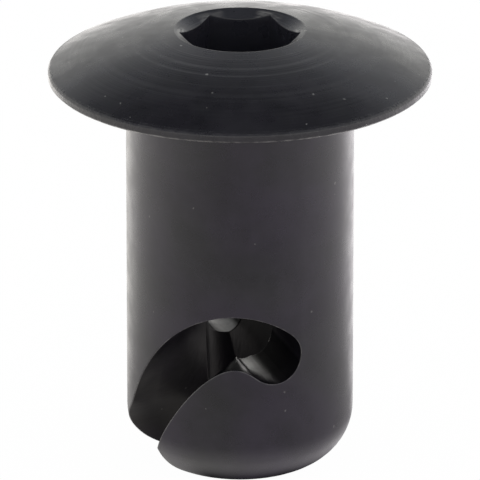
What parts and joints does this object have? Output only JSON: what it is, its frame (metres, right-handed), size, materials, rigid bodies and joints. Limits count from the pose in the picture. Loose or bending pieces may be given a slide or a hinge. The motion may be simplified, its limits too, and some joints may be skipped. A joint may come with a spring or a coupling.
{
  "type": "quarter turn panel fastener stud",
  "caption": "Quarter turn panel fastener stud: wide shallow domed head with a hex socket, round shank with a rounded foot, and handed cam slots that rise over a hump into a detent.",
  "frame": {"origin": "centre of the flat foot on the stud's axis, at the base of the bounding box", "axes": "+Z along the stud's axis from the foot to the head; the front cam slot faces -Y; the hex socket's corners lie along X"},
  "size_m": [0.0186, 0.0186, 0.0223],
  "materials": {
    "black_anodised": "satin black anodised"
  },
  "bodies": {
    "root": {"fastener_stud": "black_anodised"}
  },
  "joints": []
}
